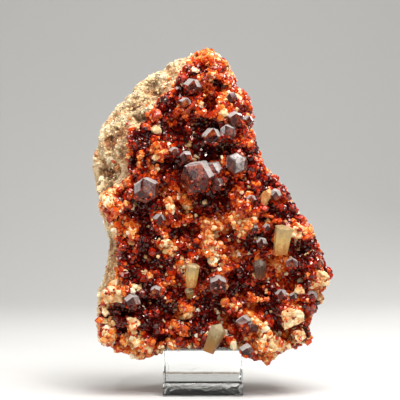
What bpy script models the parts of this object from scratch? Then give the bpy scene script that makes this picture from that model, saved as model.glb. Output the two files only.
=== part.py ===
"""Garnet in matrix: garnets and quartz grown on a broken piece of pale rock, on a clear stand.

Metres, +Z up. The origin is the middle of the stand's foot, on the surface that it stands on.
The garnets face -Y, and +X is to the right when they are seen from the front.
"""

import math

import bmesh
import bpy
from mathutils import Euler, Matrix, Vector, noise
from mathutils.geometry import intersect_point_line

MM = 0.001
GAP = 0.3 * MM  # between pieces that touch

# The clear stand: a block glued on a base slab.
STAND_WIDTH = 25.4 * MM
STAND_DEPTH = 31.7 * MM
BASE_THICK = 4.6 * MM
BLOCK_HEIGHT = 10.0 * MM
EDGE_POLISH = 0.35 * MM
STAND_TOP = BASE_THICK + GAP + BLOCK_HEIGHT

# The rock's outline at its front, in millimetres: x, z, and how thick the crust of garnets is there.
# It runs clockwise from the peak.
FRONT_OUTLINE = [
    (2.9, 111.1, 2.0), (6.5, 108.2, 2.0), (9.6, 102.8, 2.0), (12.2, 98.2, 2.5), (15.0, 96.0, 2.5),
    (16.1, 89.2, 2.5), (15.8, 85.4, 2.5), (17.8, 79.2, 3.0), (20.3, 73.1, 3.0), (23.8, 70.0, 3.0),
    (27.1, 66.7, 3.0), (29.1, 62.2, 3.0), (31.2, 57.9, 3.0), (35.1, 53.6, 3.0), (36.5, 49.1, 3.0),
    (38.7, 44.7, 3.0), (40.9, 39.5, 3.0), (40.9, 36.0, 3.0), (38.4, 33.7, 3.0), (38.4, 30.8, 3.0),
    (36.5, 26.9, 3.0), (34.0, 24.3, 3.0), (34.2, 18.1, 3.0), (33.5, 16.4, 3.0), (27.1, 14.6, 3.0),
    (21.9, 11.4, 2.0), (18.6, 11.0, 2.0), (15.4, 12.0, 1.0), (12.2, 13.6, 0.0), (4.8, 14.9, 0.0),
    (-4.8, 15.0, 0.0), (-12.4, 14.2, 0.0), (-16.8, 12.8, 1.0), (-20.0, 11.4, 1.5), (-22.9, 12.8, 1.5),
    (-26.8, 14.6, 1.5), (-31.9, 16.2, 1.0), (-33.4, 18.5, 0.0), (-33.4, 22.4, 0.0), (-33.8, 26.9, 0.0),
    (-33.4, 31.5, 0.0), (-32.9, 34.3, 0.0), (-31.3, 37.3, 0.0), (-30.8, 43.4, 0.0), (-30.0, 49.7, 0.0),
    (-30.8, 54.2, 0.0), (-32.3, 57.1, 0.0), (-33.4, 62.2, 0.0), (-33.8, 66.0, 0.0), (-35.6, 71.9, 0.0),
    (-34.8, 78.0, 0.0), (-32.9, 83.2, 0.0), (-31.9, 88.2, 0.0), (-28.7, 91.1, 0.0), (-24.2, 95.7, 0.0),
    (-23.4, 98.3, 0.0), (-19.7, 101.1, 0.0), (-14.8, 103.3, 0.0), (-11.6, 105.8, 0.0), (-6.5, 108.0, 0.0),
    (-1.1, 109.9, 1.0), (0.6, 110.9, 1.5),
]

# The rock is widest some way behind its front: there the outline is spread from its middle by this much.
WIDEST = 1.01
OUTLINE_MIDDLE = (-1.0, 62.5)
OUTLINE = [
    (
        OUTLINE_MIDDLE[0] + WIDEST * (x - OUTLINE_MIDDLE[0]),
        OUTLINE_MIDDLE[1] + WIDEST * (z - OUTLINE_MIDDLE[1]),
        crust,
    )
    for x, z, crust in FRONT_OUTLINE
]

# Where the crust of garnets ends on the left and the pale rock lies bare, from the peak down.
CRUST_EDGE = [
    (-3.5, 109.9), (-4.5, 106.5), (-8.0, 102.5), (-9.5, 98.0), (-14.0, 95.0), (-16.8, 90.5), (-17.0, 87.5),
    (-23.0, 85.5), (-24.2, 83.0), (-24.2, 77.5), (-23.8, 70.5), (-26.0, 67.5), (-32.0, 65.5), (-33.4, 61.0),
    (-31.2, 57.0), (-28.0, 52.5), (-27.0, 45.0), (-28.0, 38.0), (-32.0, 33.5), (-33.6, 26.0), (-33.4, 18.5),
]
CRUST_LAST = 36  # the last of the outline's points that the crust reaches

ROCK_BACK = 14 * MM
MATRIX_FRONT = -11 * MM
CRUST_FRONT = -15 * MM
CRUST_WRAP = 3 * MM  # how far back the crust comes round the rock's side
EDGE_ROUND = 7 * MM
FRONT_FALL = 2 * MM  # how far the bare front falls back at the rock's edge
BACK_FALL = 6 * MM  # and the back
ROCK_MIDDLE = 62  # mm up, the height that the back draws in towards
BACK_DRAW_IN = 0.08
BACK_LEAN = 5 * MM  # how much thinner the rock is at its peak, at the back
TOP_FALL = 2.5 * MM  # and at the front
BARE_SLOPE = 0.55  # how fast the bare rock falls back from the crust's edge
FRONT_GRAIN = 0.6 * MM  # the rock's own unevenness, on its front and sides
BACK_GRAIN = 1.6 * MM
CRUST_GRAIN = 0.6 * MM
SIDE_GRAIN = 0.8 * MM  # the same on the crust's sides
CRUST_HEM = 4 * MM  # how unevenly the crust ends behind the rock's front
VOXEL = 1.2 * MM
MATRIX_SHARE = 0.056  # of the faces that the voxels give, how many are kept
CRUST_SHARE = 0.073
KNOB_SPACING = 6.5 * MM
KNOB_HEIGHT = 2.6 * MM
CRUST_EDGE_FALL = (2.5, 6.0)  # mm that the crust falls back at its edge, at the foot and higher up
BED_GAP = 2.0 * GAP  # between the crust and the rock, wide enough for flat faces on a curved bed

# Heaps of grown-together garnets that stand out of the crust: x, z, radius and height in millimetres.
HEAPS = [
    (3.5, 106.0, 4.5, 1.8), (4.5, 100.5, 5.0, 2.6), (-3.0, 102.0, 4.5, 2.0), (-4.0, 93.0, 5.0, 2.4),
    (2.5, 90.5, 6.0, 3.4), (10.5, 91.0, 5.0, 1.8), (5.5, 84.0, 5.0, 1.8), (-13.5, 87.5, 5.0, 1.8),
    (-18.0, 80.0, 7.5, 2.6), (-20.5, 62.0, 5.5, 2.0), (-29.0, 61.0, 5.0, 2.6), (8.0, 64.0, 6.0, 1.8),
    (17.0, 62.0, 7.0, 2.4), (12.0, 55.0, 6.0, 2.0), (-13.0, 52.0, 7.0, 1.8), (4.0, 43.0, 6.0, 2.2),
    (34.0, 41.0, 6.0, 1.8), (27.0, 27.0, 6.0, 2.4), (18.5, 21.0, 6.5, 2.6), (-3.0, 22.0, 7.0, 2.4),
    (-17.0, 23.0, 6.5, 2.2), (-29.0, 24.0, 5.5, 2.0), (-23.0, 35.0, 6.0, 2.0),
]

# Dark hollows between the heaps: x, z, radius and depth in millimetres.
HOLLOWS = [
    (3.5, 86.2, 4.5, 2.6), (4.6, 95.2, 2.4, 1.6), (0.0, 79.0, 5.0, 3.0), (-4.0, 69.0, 6.0, 2.4),
    (3.0, 61.5, 5.0, 2.6), (-18.5, 64.5, 4.0, 2.2), (29.0, 48.5, 4.5, 3.4), (22.0, 39.0, 5.0, 2.2),
    (27.0, 38.0, 4.0, 2.2), (25.5, 22.5, 4.0, 2.6), (0.5, 31.0, 5.0, 3.0), (-9.5, 25.5, 4.0, 2.6),
    (-27.5, 28.0, 3.0, 2.2), (-13.5, 56.5, 3.5, 2.6), (7.5, 22.0, 4.0, 2.0), (-9.5, 84.0, 4.0, 2.4),
]

# Single garnets and groups that are grown together. A crystal is x, z and depth in front of the crust,
# its half width, then how it is turned: about X (face up), about Z (face to the side), about Y (spin).
GARNETS = {
    "garnet_centre_cluster": [
        (-1.7, 69.7, 5.0, 4.6, 3, 36, -57),
        (2.8, 71.4, 2.0, 3.0, 3, 36, -57),
        (4.4, 67.4, 3.6, 1.9, 10, 24, 35),
    ],
    "garnet_right_of_centre": [(10.6, 74.0, 5.6, 3.1, -23, 48, 34)],
    "garnet_left": [(-18.0, 65.6, 3.5, 3.7, -25.5, -137, 123)],
    "garnet_top": [(-3.4, 98.6, 2.8, 2.3, -38, 10, 12)],
    "garnet_upper_left": [(-5.6, 93.1, 2.6, 1.7, -42, 30, 30)],
    "garnet_upper_right": [(9.0, 95.0, 2.0, 1.7, -35, -20, 8)],
    "garnet_right_shoulder": [(14.3, 87.9, 0.8, 1.5, -40, 20, 10)],
    "garnet_pale_pair": [(10.2, 88.2, 2.8, 2.1, -30, 15, 25), (7.4, 89.0, 2.4, 1.2, -45, 0, 5)],
    "garnet_brown_pair": [(2.8, 82.6, 3.0, 2.5, -48, 12, 12), (7.9, 83.9, 2.6, 2.3, -45, -18, 40)],
    "garnet_mauve_small": [(-9.2, 77.8, 2.0, 1.4, -30, 20, 10)],
    "garnet_mauve": [(-5.3, 76.0, 2.4, 1.8, -28, -15, 22)],
    "garnet_right_slope": [(22.9, 64.3, 2.0, 1.6, -25, 5, 4)],
    "garnet_glint": [(15.2, 62.6, 2.8, 1.4, -45, 10, 12)],
    "garnet_pink": [(16.2, 53.6, 2.4, 1.2, -8, 4, 30)],
    "garnet_beside_quartz": [(20.2, 53.8, 2.0, 1.1, -35, 15, 5)],
    "garnet_under_quartz": [(18.6, 48.9, 2.4, 1.6, -42, -12, 18)],
    "garnet_right_low": [(28.1, 42.4, 2.2, 1.7, -46, 4, 45)],
    "garnet_right_edge": [(36.6, 42.4, 1.8, 1.5, -35, -22, 12)],
    "garnet_below_ledge": [(34.5, 32.1, 1.0, 1.6, -22, 10, 20)],
    "garnet_row_left": [(24.8, 32.6, 2.4, 1.6, -44, 0, 10)],
    "garnet_row_right": [(28.5, 31.8, 1.8, 1.2, -40, 18, 30)],
    "garnet_low_centre": [(4.7, 35.8, 3.0, 2.6, -38, 6, 45)],
    "garnet_bottom_pair": [(13.1, 23.4, 2.8, 2.3, -20, 25, 15), (15.8, 22.4, 2.2, 1.7, -32, -14, 40)],
    "garnet_bottom_left": [(-22.4, 30.4, 2.8, 2.2, -32, 12, 20)],
    "garnet_kite": [(-14.9, 33.6, 2.4, 1.6, -36, -10, 45)],
    "garnet_in_hollow": [(-13.9, 56.4, 1.4, 1.7, -38, 16, 8)],
    "garnet_amber": [(13.6, 15.2, 4.7, 1.8, -20, 10, 15)],
}

# Quartz crystals: x, z, depth in front of the crust, half width, half length, point's height (below zero
# for a blunt end), taper towards the foot, then the lean to the right, the lean forward and the turn
# about its own length.
QUARTZ = {
    "quartz_tan": (25.0, 49.8, 3.2, 2.5, 4.3, -1.2, 0.06, 8, 12, 10),
    "quartz_middle": (-3.5, 38.7, 3.4, 1.8, 3.7, -0.1, 0.06, 6, 10, 26),
    "quartz_bottom": (3.6, 19.0, 3.8, 2.2, 5.0, 1.0, 0.10, 25, -8, 32),
    "quartz_smoky": (17.9, 41.0, 2.8, 2.0, 2.9, 0.2, 0.08, -6, 24, 8),
    "quartz_stub": (-4.3, 33.4, 2.2, 1.3, 1.7, 0.2, 0.05, -14, 30, 0),
}

# Pale feldspar blocks: x, z, depth in front of the crust, half sizes, then three turns in degrees.
FELDSPARS = {
    "feldspar_right_edge": (37.8, 37.5, 2.2, (2.0, 1.9, 2.0), (8, 12, -6)),
    "feldspar_ledge": (30.6, 33.9, 1.6, (1.4, 1.2, 1.1), (-10, 20, 10)),
    "feldspar_beside_quartz": (29.9, 52.0, 1.8, (1.4, 1.3, 1.5), (-8, 22, -12)),
    "feldspar_low_right": (28.2, 25.7, 2.4, (3.1, 1.9, 2.4), (12, -10, 8)),
    "feldspar_bottom_right": (21.2, 17.4, 2.2, (3.1, 2.0, 2.5), (6, 16, 18)),
    "feldspar_corner": (30.6, 19.6, 1.6, (1.6, 1.6, 1.5), (0, -18, 6)),
    "feldspar_left_upper": (-28.0, 32.4, 1.2, (2.6, 1.8, 2.1), (10, 10, -8)),
    "feldspar_left_lower": (-22.0, 23.6, 2.2, (1.5, 1.5, 1.7), (-12, -16, 14)),
    "feldspar_bottom_left": (-18.0, 16.4, 1.4, (2.0, 1.6, 1.6), (8, 20, -10)),
    "feldspar_centre": (2.6, 47.9, 2.2, (1.7, 1.4, 1.5), (14, 24, 6)),
}


def clear_scene():
    for obj in list(bpy.data.objects):
        bpy.data.objects.remove(obj)


def collection(name, hidden=False):
    made = bpy.data.collections.new(name)
    made.hide_render = hidden
    bpy.context.scene.collection.children.link(made)
    return made


def material(name, colour, roughness, transmission=0.0, ior=1.5):
    made = bpy.data.materials.new(name)
    made.use_nodes = True
    shader = made.node_tree.nodes["Principled BSDF"]
    shader.inputs["Base Color"].default_value = (*colour, 1.0)
    shader.inputs["Roughness"].default_value = roughness
    shader.inputs["Metallic"].default_value = 0.0
    shader.inputs["Transmission Weight"].default_value = transmission
    shader.inputs["IOR"].default_value = ior
    return made


def add_object(name, mesh, group, finish=None):
    obj = bpy.data.objects.new(name, mesh)
    group.objects.link(obj)
    if finish:
        mesh.materials.clear()
        mesh.materials.append(finish)
    return obj


def baked(obj, group, finish=None):
    """A plain mesh in place of obj, with its modifiers and its place applied and its doubles merged."""
    bpy.context.view_layer.update()
    graph = bpy.context.evaluated_depsgraph_get()
    mesh = bpy.data.meshes.new_from_object(obj.evaluated_get(graph))
    mesh.transform(obj.matrix_world)
    name = obj.name
    bpy.data.objects.remove(obj)
    shape = bmesh.new()
    shape.from_mesh(mesh)
    bmesh.ops.remove_doubles(shape, verts=shape.verts, dist=0.001 * MM)
    shape.to_mesh(mesh)
    shape.free()
    return add_object(name, mesh, group, finish)


def slab(name, outline, front, back, group):
    """An upright slab of this outline, as a flat filled curve with a thickness."""
    curve = bpy.data.curves.new(name, "CURVE")
    curve.dimensions = "2D"
    curve.fill_mode = "BOTH"
    curve.extrude = (back - front) / 2
    spline = curve.splines.new("POLY")
    spline.points.add(len(outline) - 1)
    for point, (x, z) in zip(spline.points, outline):
        point.co = (x * MM, z * MM, 0, 1)
    spline.use_cyclic_u = True
    obj = add_object(name, curve, group)
    obj.rotation_euler.x = math.pi / 2
    obj.location.y = (front + back) / 2
    return baked(obj, group)


def remeshed(obj, group, finish=None):
    modifier = obj.modifiers.new("Even faces", "REMESH")
    modifier.mode = "VOXEL"
    modifier.voxel_size = VOXEL
    return baked(obj, group, finish)


def smooth_step(value):
    value = min(max(value, 0.0), 1.0)
    return value * value * (3 - 2 * value)


def distance_to(path, x, z, closed=True):
    """How far a place on the front is from this path, all in millimetres."""
    place = Vector((x, z, 0))
    nearest = math.inf
    ends = zip(path, path[1:] + path[:1]) if closed else zip(path, path[1:])
    for (x1, z1), (x2, z2) in ends:
        start, end = Vector((x1, z1, 0)), Vector((x2, z2, 0))
        on_line, share = intersect_point_line(place, start, end)
        foot = start.lerp(end, min(max(share, 0.0), 1.0))
        nearest = min(nearest, (place - foot).length)
    return nearest


def inward(outline):
    """The outline moved in by the crust's thickness at each point: where the pale rock itself ends."""
    moved = []
    for index, (x, z, crust) in enumerate(outline):
        before, after = outline[index - 1], outline[(index + 1) % len(outline)]
        along = Vector((after[0] - before[0], after[1] - before[1])).normalized()
        moved.append((x + along.y * crust, z - along.x * crust))
    return moved


def crust_outline():
    reach = [(x, z) for x, z, crust in OUTLINE[:CRUST_LAST + 1]]
    return reach + CRUST_EDGE[::-1]


def rounding(distance):
    """How far a face falls back near the rock's edge, as a share of the full rounding."""
    share = 1 - min(distance / (EDGE_ROUND / MM), 1.0)
    return 1 - math.sqrt(max(1 - share * share, 0.0))


def bumps(places, x, z):
    """The sum of round bumps with flat tops, in millimetres."""
    total = 0.0
    for centre_x, centre_z, radius, height in places:
        away = math.hypot(x - centre_x, z - centre_z) / radius
        total += height * smooth_step(1.35 - away)
    return total


def knobs(x, z):
    """Rounded knobs with narrow clefts between them, from 0 to 1."""
    place = Vector((x, z, 0)) * (MM / KNOB_SPACING)
    nearest, second = noise.voronoi(place)[0][:2]
    return smooth_step(1.9 * (second - nearest) + 0.1)


def between(y, old_front, old_back, front, back):
    """A depth moved from the plain slab's range to the rock's own, in millimetres."""
    share = (y - old_front / MM) / ((old_back - old_front) / MM)
    return front + share * (back - front)


def shape_matrix(obj):
    rim = inward(OUTLINE)
    for vertex in obj.data.vertices:
        x, y, z = vertex.co / MM
        round_off = rounding(distance_to(rim, x, z))
        grain = noise.fractal(vertex.co * 140, 1.0, 2.0, 3)
        left_of_crust = max(bare_limit(z) - x, 0.0)
        front = MATRIX_FRONT + FRONT_FALL * round_off + FRONT_GRAIN * grain
        front = front / MM + BARE_SLOPE * left_of_crust
        back = ROCK_BACK - BACK_FALL * round_off + BACK_GRAIN * grain
        back = (back - BACK_LEAN * smooth_step((z - ROCK_MIDDLE) / 50)) / MM
        y = between(y, MATRIX_FRONT, ROCK_BACK, front, back)
        side = 1 - abs(vertex.normal.y)
        x += vertex.normal.x * side * FRONT_GRAIN / MM * grain
        z += vertex.normal.z * side * FRONT_GRAIN / MM * grain
        draw_in = 1 - BACK_DRAW_IN * smooth_step(y * MM / ROCK_BACK)
        vertex.co = Vector((x * draw_in, y, ROCK_MIDDLE + (z - ROCK_MIDDLE) * draw_in)) * MM
    seat_on_block(obj)


def bare_limit(z):
    """The crust's left edge at this height, in millimetres."""
    for (x1, z1), (x2, z2) in zip(CRUST_EDGE, CRUST_EDGE[1:]):
        if z2 <= z <= z1:
            return x1 + (x2 - x1) * (z1 - z) / (z1 - z2)
    return CRUST_EDGE[0][0] if z > CRUST_EDGE[0][1] else CRUST_EDGE[-1][0]


def crust_level(x, z):
    """The crust's front without heaps and knobs, in millimetres: it falls back to its edge and its peak."""
    rim = [(edge_x, edge_z) for edge_x, edge_z, crust in OUTLINE]
    foot_fall, fall = CRUST_EDGE_FALL
    fall = foot_fall + (fall - foot_fall) * smooth_step((z - 18) / 20)
    to_edge = fall * rounding(distance_to(rim, x, z))
    return CRUST_FRONT / MM + to_edge + TOP_FALL / MM * smooth_step((z - 82) / 28)


def shape_crust(obj):
    for vertex in obj.data.vertices:
        x, y, z = vertex.co / MM
        relief = KNOB_HEIGHT / MM * knobs(x, z) + bumps(HEAPS, x, z) - bumps(HOLLOWS, x, z)
        relief += CRUST_GRAIN / MM * noise.noise(vertex.co * 260)
        front = crust_level(x, z) - relief
        back = (CRUST_WRAP + CRUST_HEM * noise.noise(Vector((x, z, 5)) * 0.09)) / MM
        y = between(y, CRUST_FRONT, CRUST_WRAP, front, back)
        grain = noise.noise(vertex.co * 190 + Vector((7, 3, 1)))
        side = 1 - abs(vertex.normal.y)
        x += vertex.normal.x * side * SIDE_GRAIN / MM * grain
        z += vertex.normal.z * side * SIDE_GRAIN / MM * grain
        vertex.co = Vector((x, y, z)) * MM
    seat_on_block(obj)


def seat_on_block(obj):
    """Lifts what would sink into the stand, so that the rock's underside lies on the block."""
    margin = 1.2 * MM
    for vertex in obj.data.vertices:
        over = abs(vertex.co.x) < STAND_WIDTH / 2 + margin and abs(vertex.co.y) < STAND_DEPTH / 2 + margin
        if over:
            vertex.co.z = max(vertex.co.z, STAND_TOP + GAP + 0.05 * MM)


def thin_out(obj, ratio):
    modifier = obj.modifiers.new("Fewer faces", "DECIMATE")
    modifier.ratio = ratio


def cut_by(obj, cutter, name):
    modifier = obj.modifiers.new(name, "BOOLEAN")
    modifier.operation = "DIFFERENCE"
    modifier.object = cutter


def join_to(obj, other, name):
    modifier = obj.modifiers.new(name, "BOOLEAN")
    modifier.operation = "UNION"
    modifier.object = other


def without_chips(obj, group, finish):
    """The object with its cuts applied and only its largest piece kept."""
    whole = baked(obj, group, finish)
    shape = bmesh.new()
    shape.from_mesh(whole.data)
    left = set(shape.verts)
    pieces = []
    while left:
        piece, edge_of_piece = set(), [next(iter(left))]
        while edge_of_piece:
            vertex = edge_of_piece.pop()
            if vertex not in piece:
                piece.add(vertex)
                edge_of_piece += [edge.other_vert(vertex) for edge in vertex.link_edges]
        pieces.append(piece)
        left -= piece
    pieces.sort(key=len)
    chips = [vertex for piece in pieces[:-1] for vertex in piece]
    bmesh.ops.delete(shape, geom=chips, context="VERTS")
    shape.to_mesh(whole.data)
    shape.free()
    return whole


def cut_block(shape, normal, distance):
    """Cuts off what lies past a plane and closes the cut with one face."""
    everything = shape.verts[:] + shape.edges[:] + shape.faces[:]
    cut = bmesh.ops.bisect_plane(
        shape, geom=everything, dist=1e-9, plane_co=normal * distance, plane_no=normal, clear_outer=True,
    )
    rim = [item for item in cut["geom_cut"] if isinstance(item, bmesh.types.BMEdge)]
    if rim:
        bmesh.ops.contextual_create(shape, geom=rim)


def crystal_mesh(name, planes, reach):
    """A crystal as a block cut by its faces: each is a direction and a distance from the middle."""
    shape = bmesh.new()
    bmesh.ops.create_cube(shape, size=2 * reach)
    for normal, distance in planes:
        cut_block(shape, normal.normalized(), distance)
    bmesh.ops.remove_doubles(shape, verts=shape.verts, dist=0.01 * MM)
    bmesh.ops.recalc_face_normals(shape, faces=shape.faces)
    mesh = bpy.data.meshes.new(name)
    shape.to_mesh(mesh)
    shape.free()
    return mesh


def garnet_planes(half_width, seed, narrow_faces=True):
    """The twelve rhombs of a garnet, and the narrow faces along their edges, each a little off its rule."""
    planes = []
    for a, b in ((0, 1), (0, 2), (1, 2)):
        for one in (-1, 1):
            for two in (-1, 1):
                normal = Vector((0, 0, 0))
                normal[a], normal[b] = one, two
                planes.append((normal, half_width * (1 + 0.05 * wobble(normal, seed))))
    for long_axis in range(3 if narrow_faces else 0):
        for signs in range(8):
            normal = Vector([(1 if signs >> axis & 1 else -1) for axis in range(3)])
            normal[long_axis] *= 2
            planes.append((normal, half_width * (1.105 + 0.02 * wobble(normal, seed))))
    return planes


def wobble(normal, seed):
    """A steady number from -1 to 1 for one face of one crystal."""
    return math.sin(normal.dot(Vector((12.9, 78.2, 37.7))) + 4.1 * seed)


def prism_planes(half_width, half_length, point, taper):
    """A six-sided prism that narrows to its foot, with six faces to its point."""
    planes = []
    for side in range(6):
        angle = math.radians(60 * side)
        across = Vector((math.cos(angle), 0.85 * math.sin(angle), 0))
        planes.append((across + Vector((0, 0, -taper)), half_width * (1 + 0.08 * wobble(across, 1))))
        slant = Vector((math.cos(angle), math.sin(angle), 1.15))
        planes.append((slant, (half_length - point) * 0.92 * (1 + 0.05 * wobble(across, 2))))
    planes.append((Vector((0, 0, 1)), half_length))
    planes.append((Vector((0.1, 0, -1)), half_length))
    return planes


def place_of(x, z, forward):
    """The place of a crystal's middle, this far in front of the crust's level there, all in millimetres."""
    return Matrix.Translation(Vector((x, crust_level(x, z) - forward, z)) * MM)


def turned(x_turn, z_turn, y_turn):
    angles = (math.radians(x_turn), math.radians(y_turn), math.radians(z_turn))
    return Euler(angles, "YXZ").to_matrix().to_4x4()


def garnet(name, crystal, seed, group, finish, grow=0.0):
    x, z, forward, half_width, face_up, to_side, spin = crystal
    size = half_width * MM + grow
    mesh = crystal_mesh(name, garnet_planes(size, seed, narrow_faces=not grow), 1.6 * size)
    place = place_of(x, z, forward)
    mesh.transform(place @ turned(face_up, to_side, spin))
    return add_object(name, mesh, group, finish)


def quartz(name, sizes, group, finish, grow=0.0):
    x, z, forward, half_width, half_length, point, taper, lean, tip, turn = sizes
    planes = prism_planes(half_width * MM, half_length * MM, point * MM, taper)
    planes = [(normal, distance + grow) for normal, distance in planes]
    mesh = crystal_mesh(name, planes, 1.5 * half_length * MM)
    place = place_of(x, z, forward)
    about = Matrix.Rotation(math.radians(lean), 4, "Y") @ Matrix.Rotation(math.radians(tip), 4, "X")
    mesh.transform(place @ about @ Matrix.Rotation(math.radians(turn), 4, "Z"))
    return add_object(name, mesh, group, finish)


def feldspar(name, sizes, group, finish, grow=0.0):
    """A blunt block with slanting ends and two cut corners."""
    x, z, forward, half_sizes, turns = sizes
    wide, deep, tall = (half * MM for half in half_sizes)
    planes = [
        (Vector((1, 0.12, 0.1)), wide), (Vector((-1, 0.1, 0.05)), wide), (Vector((0, 1, 0)), deep),
        (Vector((0.06, -1, 0.1)), deep), (Vector((0.22, 0, 1)), tall), (Vector((0.18, 0, -1)), tall),
        (Vector((1, -1, 0.3)), 0.78 * (wide + deep)), (Vector((-0.5, -0.8, 1)), 0.72 * (deep + tall)),
    ]
    planes = [(normal, distance + grow) for normal, distance in planes]
    mesh = crystal_mesh(name, planes, 3 * max(wide, deep, tall))
    place = place_of(x, z, forward)
    mesh.transform(place @ Euler([math.radians(turn) for turn in turns]).to_matrix().to_4x4())
    return add_object(name, mesh, group, finish)


def stand_piece(name, bottom, height, group, finish, grow=0.0):
    shape = bmesh.new()
    bmesh.ops.create_cube(shape, size=1)
    sides = (STAND_WIDTH + 2 * grow, STAND_DEPTH + 2 * grow, height + 2 * grow)
    bmesh.ops.scale(shape, vec=sides, verts=shape.verts)
    bmesh.ops.translate(shape, vec=(0, 0, bottom + height / 2), verts=shape.verts)
    mesh = bpy.data.meshes.new(name)
    shape.to_mesh(mesh)
    shape.free()
    obj = add_object(name, mesh, group, finish)
    bevel = obj.modifiers.new("Polished edges", "BEVEL")
    bevel.width = EDGE_POLISH
    bevel.segments = 1
    return obj


def build():
    clear_scene()
    parts = collection("garnet_in_matrix")
    cutters = collection("cutters", hidden=True)

    acrylic = material("clear_acrylic", (0.95, 0.97, 0.97), 0.02, 1.0, 1.49)
    rock = material("pale_rock", (0.62, 0.52, 0.38), 0.85)
    crust_red = material("garnet_crust_red", (0.45, 0.06, 0.02), 0.25)
    garnet_red = material("garnet_dark_red", (0.16, 0.03, 0.02), 0.12)
    quartz_tan = material("quartz_tan", (0.55, 0.44, 0.30), 0.2, 0.5, 1.55)
    feldspar_cream = material("feldspar_cream", (0.80, 0.68, 0.47), 0.6)

    stand_piece("stand_base", 0, BASE_THICK, parts, acrylic)
    stand_piece("stand_block", BASE_THICK + GAP, BLOCK_HEIGHT, parts, acrylic)

    matrix = slab("matrix", inward(OUTLINE), MATRIX_FRONT, ROCK_BACK, parts)
    matrix = remeshed(matrix, parts, rock)
    shape_matrix(matrix)
    thin_out(matrix, MATRIX_SHARE)
    matrix = baked(matrix, parts, rock)

    crust = slab("garnet_crust", crust_outline(), CRUST_FRONT, CRUST_WRAP, parts)
    crust = remeshed(crust, parts, crust_red)
    shape_crust(crust)
    thin_out(crust, CRUST_SHARE)

    grown = add_object("matrix_grown", matrix.data.copy(), cutters)
    grow = grown.modifiers.new("Gap", "DISPLACE")
    grow.strength = BED_GAP
    grow.mid_level = 0
    cut_by(crust, grown, "Bed on the rock")

    pockets = []
    for seed, (name, crystals) in enumerate(GARNETS.items()):
        members = []
        for number, crystal in enumerate(crystals):
            group = parts if number == 0 else cutters
            label = name if number == 0 else f"{name}_{number}"
            members.append(garnet(label, crystal, seed + number, group, garnet_red))
            pockets.append(garnet(f"{label}_pocket", crystal, seed + number, cutters, None, GAP))
        for number, member in enumerate(members[1:]):
            join_to(members[0], member, f"Grown together {number}")
    for name, sizes in QUARTZ.items():
        quartz(name, sizes, parts, quartz_tan)
        pockets.append(quartz(f"{name}_pocket", sizes, cutters, None, GAP))
    for name, sizes in FELDSPARS.items():
        feldspar(name, sizes, parts, feldspar_cream)
        pockets.append(feldspar(f"{name}_pocket", sizes, cutters, None, GAP))
    pockets.append(stand_piece("stand_room", BASE_THICK + GAP, BLOCK_HEIGHT, cutters, None, GAP))
    for pocket in pockets:
        cut_by(crust, pocket, "Pocket")
        cut_by(matrix, pocket, "Pocket")
    without_chips(crust, parts, crust_red)
    without_chips(matrix, parts, rock)

    for cutter in cutters.objects:
        cutter.hide_render = True
        cutter.display_type = "WIRE"


build()
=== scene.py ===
"""Garnet in matrix: how its clear stand, the rock, the garnets, the quartz and the feldspar look.

Metres, +Z up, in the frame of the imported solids. The garnets face -Y.
"""

import math

import bpy
import numpy as np
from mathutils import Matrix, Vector, noise
from mathutils.bvhtree import BVHTree


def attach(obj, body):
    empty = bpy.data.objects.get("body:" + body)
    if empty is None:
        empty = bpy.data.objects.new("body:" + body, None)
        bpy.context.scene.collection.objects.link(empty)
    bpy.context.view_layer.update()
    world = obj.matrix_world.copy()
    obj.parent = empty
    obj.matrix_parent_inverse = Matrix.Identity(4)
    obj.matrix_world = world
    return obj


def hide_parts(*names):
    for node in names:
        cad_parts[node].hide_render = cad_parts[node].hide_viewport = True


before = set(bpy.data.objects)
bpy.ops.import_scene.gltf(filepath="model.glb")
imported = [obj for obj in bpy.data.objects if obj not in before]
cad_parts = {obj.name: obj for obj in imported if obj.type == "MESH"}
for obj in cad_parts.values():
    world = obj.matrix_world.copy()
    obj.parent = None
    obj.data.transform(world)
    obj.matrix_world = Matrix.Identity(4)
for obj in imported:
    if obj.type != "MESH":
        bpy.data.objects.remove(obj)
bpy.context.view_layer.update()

# The clear stand: a base slab and a block, sawn from cast acrylic, polished and glued one on the other.
# Handling has left faint scratches and a slight ripple in the polish.
MM = 0.001  # in metres
ACRYLIC_INDEX = 1.49
SCRATCH_SPACING = 7 * MM
SCRATCH_WIDTH = 0.012  # as a share of the spacing
SCRATCH_DEPTH = 0.2  # as a share of the ripple's depth


def new_finish(name, colour, roughness, index=1.5, clearness=0.0):
    """A material with these plain values, and its shader."""
    made = bpy.data.materials.new(name)
    made.use_nodes = True
    shader = made.node_tree.nodes["Principled BSDF"]
    shader.inputs["Base Color"].default_value = (*colour, 1.0)
    shader.inputs["Roughness"].default_value = roughness
    shader.inputs["IOR"].default_value = index
    shader.inputs["Transmission Weight"].default_value = clearness
    return made, shader


def add_node(finish, kind, inputs, **settings):
    """A shader node with these settings. An input takes a plain value or another node's output."""
    made = finish.node_tree.nodes.new("ShaderNode" + kind)
    for name, value in settings.items():
        setattr(made, name, value)
    for name, value in inputs.items():
        if isinstance(value, bpy.types.NodeSocket):
            finish.node_tree.links.new(value, made.inputs[name])
        else:
            made.inputs[name].default_value = value
    return made


def own_coordinates(finish):
    return add_node(finish, "TexCoord", {}).outputs["Object"]


def pattern(finish, kind, feature_size, **inputs):
    """A texture whose features are about this wide, on the piece's own coordinates."""
    values = {"Vector": own_coordinates(finish), "Scale": 1 / feature_size, **inputs}
    return add_node(finish, kind, values)


def colour_ramp(finish, factor, stops):
    """Colours spread along a factor: each stop is a position and a colour."""
    made = add_node(finish, "ValToRGB", {"Fac": factor})
    ramp = made.color_ramp
    while len(ramp.elements) < len(stops):
        ramp.elements.new(1.0)
    for element, (position, colour) in zip(ramp.elements, stops):
        element.position = position
        element.color = (*colour, 1.0)
    return made.outputs["Color"]


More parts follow.
